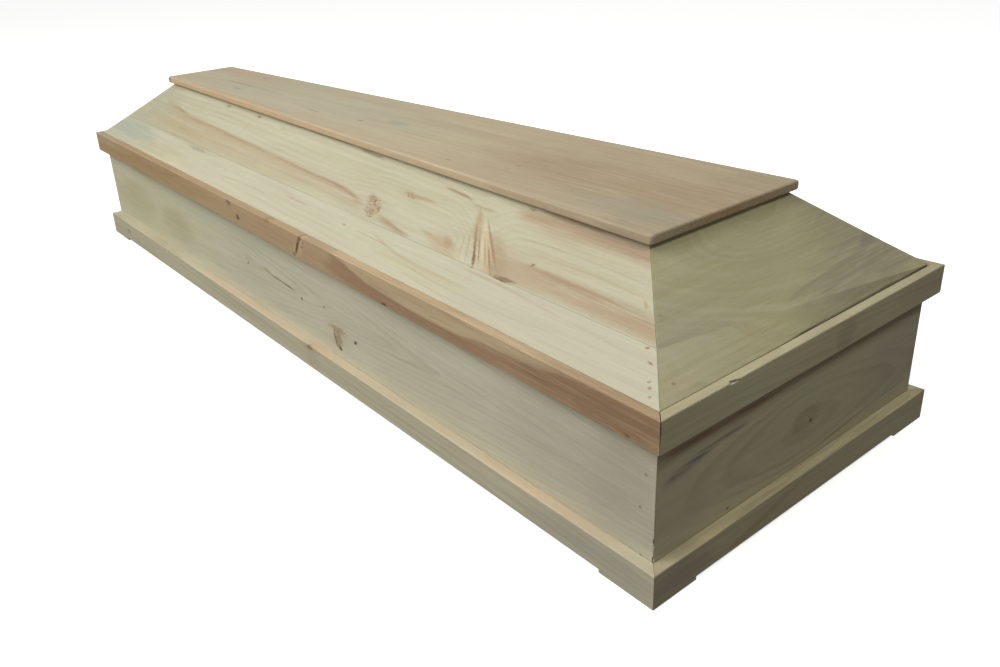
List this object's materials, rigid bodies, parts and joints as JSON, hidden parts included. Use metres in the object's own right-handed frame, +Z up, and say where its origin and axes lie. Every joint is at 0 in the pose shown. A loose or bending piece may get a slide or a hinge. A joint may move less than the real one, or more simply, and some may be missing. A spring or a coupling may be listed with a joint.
{
  "type": "softwood coffin",
  "caption": "Plain unfinished wooden coffin, tapered from head to foot, on a low plinth with corner feet, under a lift-off hipped lid with a flat top board and a rim band.",
  "frame": {"origin": "centre of the coffin's footprint, on the surface that it stands on", "axes": "+X towards the wide head end, +Y towards the right side of a person lying in it, +Z up"},
  "size_m": [2.0036, 0.6866, 0.4165],
  "materials": {
    "box_wood": "bare planed softwood, greenish cream",
    "plinth_wood": "bare planed softwood, grey cream with a yellow top edge",
    "rim_wood": "bare planed softwood, pinkish brown on the sides and grey green at the ends",
    "lid_wood": "bare planed softwood, pale cream with pinkish brown heartwood bands and knots",
    "top_wood": "bare planed softwood, pinkish tan with brown edges"
  },
  "bodies": {
    "root": {"wall_head": "box_wood", "wall_foot": "box_wood", "wall_left": "box_wood", "wall_right": "box_wood", "bottom_board": "box_wood", "plinth_head": "plinth_wood", "plinth_foot": "plinth_wood", "plinth_left": "plinth_wood", "plinth_right": "plinth_wood", "rim_head": "rim_wood", "rim_foot": "rim_wood", "rim_left": "rim_wood", "rim_right": "rim_wood", "lid_head_panel": "lid_wood", "lid_foot_panel": "lid_wood", "lid_left_lower_board": "lid_wood", "lid_left_upper_board": "lid_wood", "lid_right_lower_board": "lid_wood", "lid_right_upper_board": "lid_wood", "lid_top_board": "top_wood"}
  },
  "joints": []
}
